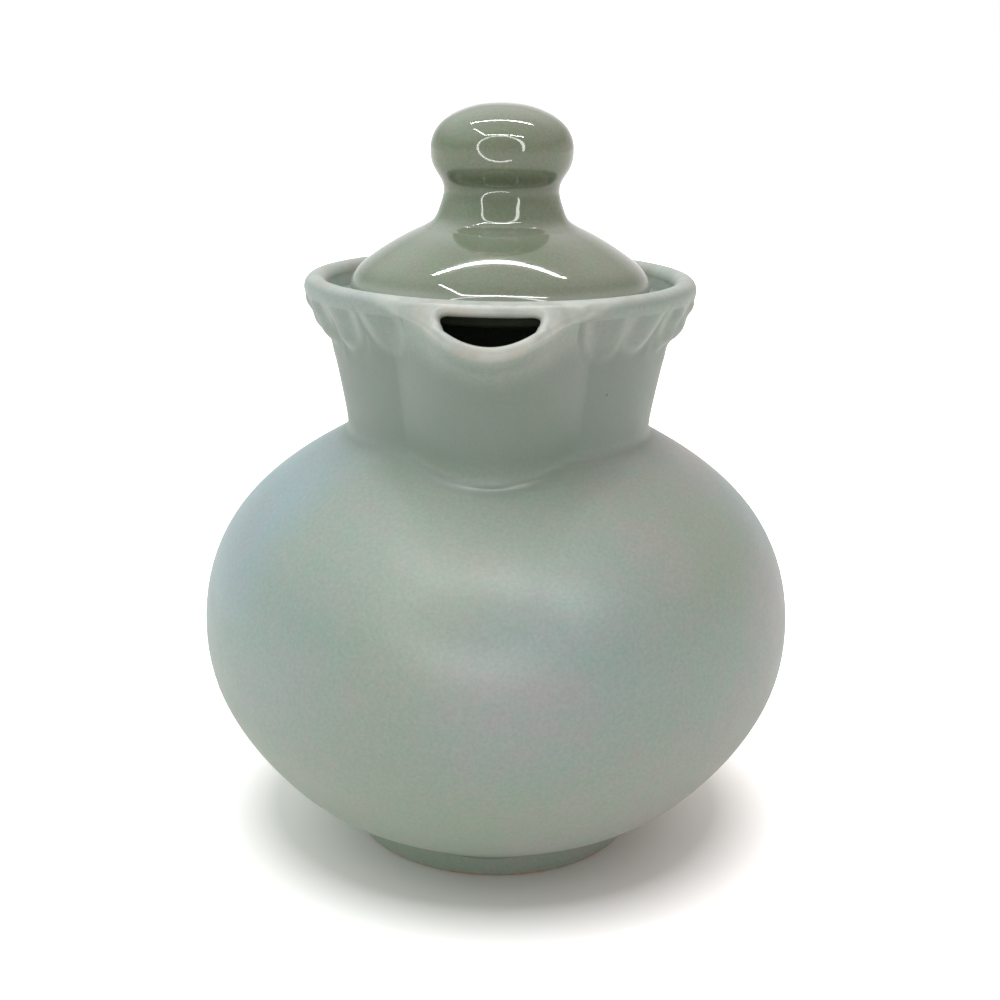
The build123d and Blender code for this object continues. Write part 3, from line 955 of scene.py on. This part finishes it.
def lay_paper(scene, studio):
    """A wide sheet of white paper that keeps the pot's shadow."""
    half = 3.0
    sheet = bpy.data.meshes.new("floor")
    sheet.from_pydata([(-half, -half, 0), (half, -half, 0), (half, half, 0), (-half, half, 0)],
                      [], [(0, 1, 2, 3)])
    floor = bpy.data.objects.new("floor", sheet)
    scene.collection.objects.link(floor)
    material, tree = new_material("white_paper")
    paper = node(tree, "BsdfDiffuse", {"Color": to_linear("F4F2EF")})
    place = node(tree, "TexCoord").outputs["Object"]
    # It glows away from the shadow's middle, for the camera and, with less glow, for mirror images
    middle = (0, 0.006, 0)
    far = node(tree, "VectorMath", (place, middle), operation="DISTANCE").outputs["Value"]
    glow = node(tree, "MapRange", (far, 0.036, 0.0555, 0.0, studio.paper_glow))
    faint = node(tree, "MapRange", (far, 0.036, 0.12, 0.0, studio.mirror_glow))
    lift = node(tree, "Emission", (WHITE, by_ray(tree, glow, faint, studio.paper_lift)))
    both = node(tree, "AddShader", (paper, lift))
    node(tree, "OutputMaterial", {"Surface": both})
    sheet.materials.append(material)


def hang_surround(scene, studio):
    """A light tent: even walls, a brighter ceiling, a white back and an open front that is darker.

    Its light goes by the three parts of the direction, each from -1 to 1.
    """
    world = bpy.data.worlds.new("surround")
    world.use_nodes = True
    tree = world.node_tree
    tree.nodes.clear()
    x, y, z = node(tree, "SeparateXYZ", (node(tree, "TexCoord").outputs["Generated"],)).outputs
    open_front = node(tree, "MapRange", (y, -0.9, -0.3, studio.front, 1.0))
    ceiling = node(tree, "MapRange", (z, 0.0, 0.8, studio.horizon, studio.ceiling),
                   interpolation_type="SMOOTHSTEP")
    # The back wall is white down to the table, so grazing reflections at the outline are light
    back_wall = node(tree, "MapRange", (y, 0.45, 0.95, 0.0, studio.back))
    walls = node(tree, "Math", (ceiling, back_wall), operation="MAXIMUM")
    tent = node(tree, "Math", (open_front, walls), operation="MULTIPLY")
    sides = node(tree, "MapRange", (x, -0.9, 0.9, studio.left, studio.right))
    for share in (sides, studio.sky):
        tent = node(tree, "Math", (tent, share), operation="MULTIPLY")
    # The camera sees white. Mirror images do too, from the table's edge up and all over behind
    low_white = node(tree, "MapRange", (z, 0.0, 0.45, studio.mirror_white, 0.0))
    back_white = node(tree, "MapRange", (y, 0.45, 0.95, 0.0, 1.0))
    white = node(tree, "Math", (low_white, back_white), operation="MAXIMUM")
    mirrored = node(tree, "Math", (white, tent), operation="MAXIMUM")
    # The left wall is a little cooler and the right one a little warmer
    warmth = node(tree, "MapRange", (x, -0.6, 0.6, 0.0, 1.0))
    camera_ray = node(tree, "LightPath").outputs["Is Camera Ray"]
    tint = layered(tree, to_linear("F8FEFF"), [(warmth, to_linear("FFF5F6")), (camera_ray, WHITE)])
    light = node(tree, "Background", (tint, by_ray(tree, 1.0, mirrored, tent)))
    node(tree, "OutputWorld", {"Surface": light})
    scene.world = world


def strip_lamp(name, start, end, power):
    """A thin straight lamp between two points, turned to the pot, that shows in reflections only."""
    start, end = Vector(start), Vector(end)
    middle = (start + end) / 2
    lamp = bpy.data.lights.new(name, "AREA")
    lamp.shape = "RECTANGLE"
    lamp.size, lamp.size_y = (end - start).length, STRIP_WIDTH
    lamp.energy = power
    placed = bpy.data.objects.new(name, lamp)
    along = (end - start).normalized()
    back = (middle - Vector(AIMED_AT)).normalized()
    side = back.cross(along).normalized()
    back = along.cross(side)
    placed.matrix_world = Matrix((along, side, back)).transposed().to_4x4()
    placed.location = middle
    placed.visible_diffuse = False
    bpy.context.scene.collection.objects.link(placed)


def tent_edge(strength):
    """The bright edge of the tent's round opening, seen in reflections only.

    It is a tube carried round a circle in front of the pot, open at its lower right and thicker by a
    bell curve on its right.
    """
    across, y, z = 97, -132, 156
    turn = np.radians(np.linspace(-22, 295, 121))[:, None]
    tube = np.linspace(0, 2 * np.pi, 8, endpoint=False)[None, :]
    size = 4.3 + 3.8 * bump_at(turn, 0.3, 0.5)
    reach = across + size * np.cos(tube)
    rings = np.stack([reach * np.cos(turn), y + size * np.sin(tube), z + reach * np.sin(turn)], -1)
    edge = skin("tent_edge", rings, ends_of(rings))
    material, tree = new_material("tent_edge_glow")
    node(tree, "OutputMaterial", {"Surface": node(tree, "Emission", (WHITE, strength))})
    edge.data.materials.append(material)
    edge.visible_camera = edge.visible_diffuse = False


class MakeStudio(bpy.types.Operator):
    """Make the floor, the surround, the lamps and the camera"""

    bl_idname = "creamer.make_studio"
    bl_label = "Studio"

    def execute(self, context):
        scene, studio = context.scene, context.scene.creamer_studio
        set_camera(scene, studio)
        scene.view_settings.view_transform = "Standard"
        lay_paper(scene, studio)
        hang_surround(scene, studio)
        # Two thin strips in the tent's ceiling and a short one along its left seam
        strip_lamp("back_strip", (-0.185, 0.1, 0.45), (0.17, 0.1, 0.45), studio.strip)
        strip_lamp("front_strip", (-0.15, -0.225, 0.41), (0.22, -0.225, 0.4), studio.strip * 0.8)
        strip_lamp("side_strip", (-0.15, -0.225, 0.41), (-0.2, -0.04, 0.44), studio.strip * 0.3)
        tent_edge(studio.ring)
        return {"FINISHED"}


class CreamerPanel(bpy.types.Panel):
    """Lists the creamer's pieces and settings in the sidebar"""

    bl_idname = "VIEW3D_PT_creamer"
    bl_label = "Creamer"
    bl_space_type = "VIEW_3D"
    bl_region_type = "UI"
    bl_category = "Creamer"

    def draw(self, context):
        for operator in OPERATORS:
            self.layout.operator(operator.bl_idname)
        for name in SETTINGS:
            settings, box = getattr(context.scene, name), self.layout.box()
            for key in settings.__annotations__:
                box.prop(settings, key)


SETTINGS = {
    "creamer_sizes": CreamerSizes,
    "creamer_colours": CreamerColours,
    "creamer_studio": CreamerStudio,
}
OPERATORS = (MakePot, MakeFoot, MakeLidSeat, MakeHandle, MakeLid, MakeStudio)
CLASSES = (*SETTINGS.values(), *OPERATORS, CreamerPanel)


def register():
    """Registers the classes and puts the settings on the scene."""
    for each in CLASSES:
        bpy.utils.register_class(each)
    for name, group in SETTINGS.items():
        setattr(bpy.types.Scene, name, PointerProperty(type=group))


def unregister():
    """Takes the settings and the classes out again."""
    for name in SETTINGS:
        delattr(bpy.types.Scene, name)
    for each in reversed(CLASSES):
        bpy.utils.unregister_class(each)


def main():
    """Makes the pieces in order."""
    register()
    bpy.ops.creamer.make_studio()
    bpy.ops.creamer.make_pot()
    bpy.ops.creamer.make_foot()
    bpy.ops.creamer.make_lid_seat()
    bpy.ops.creamer.make_handle()
    bpy.ops.creamer.make_lid()


if __name__ == "__main__":
    main()
